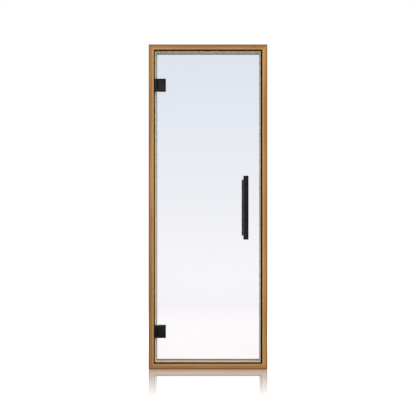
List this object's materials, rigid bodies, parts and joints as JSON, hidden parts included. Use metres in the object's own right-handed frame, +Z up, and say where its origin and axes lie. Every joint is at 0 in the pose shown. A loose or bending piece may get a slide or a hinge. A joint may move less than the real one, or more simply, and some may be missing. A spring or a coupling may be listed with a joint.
{
  "type": "sauna door",
  "caption": "Full-glass sauna door leaf on two black clamp hinges in a slim rebated timber frame, with a black pull bar outside and a flat grip inside.",
  "frame": {"origin": "middle of the sill's underside, at mid-depth of the frame", "axes": "+X to the right seen from outside, +Y through the doorway into the sauna, +Z up"},
  "size_m": [0.69, 0.14, 1.89],
  "materials": {
    "timber": "oiled, straight grain along each rail",
    "seal_rubber": "cream silicone, satin",
    "clear_glass": "clear toughened glass, ground edges",
    "black_metal": "satin black powder coat",
    "black_screws": "black oxide",
    "steel": "turned",
    "black_plastic": "black nylon",
    "gasket_rubber": "black rubber sheet"
  },
  "bodies": {
    "frame": {"hinge_jamb": "timber", "lock_jamb": "timber", "head_rail": "timber", "sill_rail": "timber", "hinge_side_seal": "seal_rubber", "lock_side_seal": "seal_rubber", "head_seal": "seal_rubber", "sill_seal": "seal_rubber", "upper_hinge_jamb_leaf": "black_metal", "upper_hinge_pin": "black_screws", "upper_hinge_washers": "black_plastic", "upper_hinge_jamb_screws": "black_screws", "lower_hinge_jamb_leaf": "black_metal", "lower_hinge_pin": "black_screws", "lower_hinge_washers": "black_plastic", "lower_hinge_jamb_screws": "black_screws"},
    "door_leaf": {"glass_pane": "clear_glass", "upper_hinge_front_plate": "black_metal", "upper_hinge_back_plate": "black_metal", "upper_hinge_front_gasket": "gasket_rubber", "upper_hinge_back_gasket": "gasket_rubber", "upper_hinge_clamp_screws": "black_screws", "lower_hinge_front_plate": "black_metal", "lower_hinge_back_plate": "black_metal", "lower_hinge_front_gasket": "gasket_rubber", "lower_hinge_back_gasket": "gasket_rubber", "lower_hinge_clamp_screws": "black_screws", "outer_handle_tube": "black_metal", "outer_handle_top_cap": "black_metal", "outer_handle_bottom_cap": "black_metal", "outer_handle_upper_standoff": "black_metal", "outer_handle_lower_standoff": "black_metal", "inner_handle_grip": "black_metal", "inner_handle_upper_standoff": "black_metal", "inner_handle_lower_standoff": "black_metal", "outer_handle_washers": "black_plastic", "inner_handle_washers": "black_plastic", "handle_upper_bolt": "steel", "handle_lower_bolt": "steel"}
  },
  "joints": [
    {"name": "leaf_hinge", "type": "hinge", "parent": "frame", "child": "door_leaf", "pos_m": [-0.3085, -0.038, 0.936], "axis": [0, 0, -1], "range_deg": [0, 120]}
  ]
}
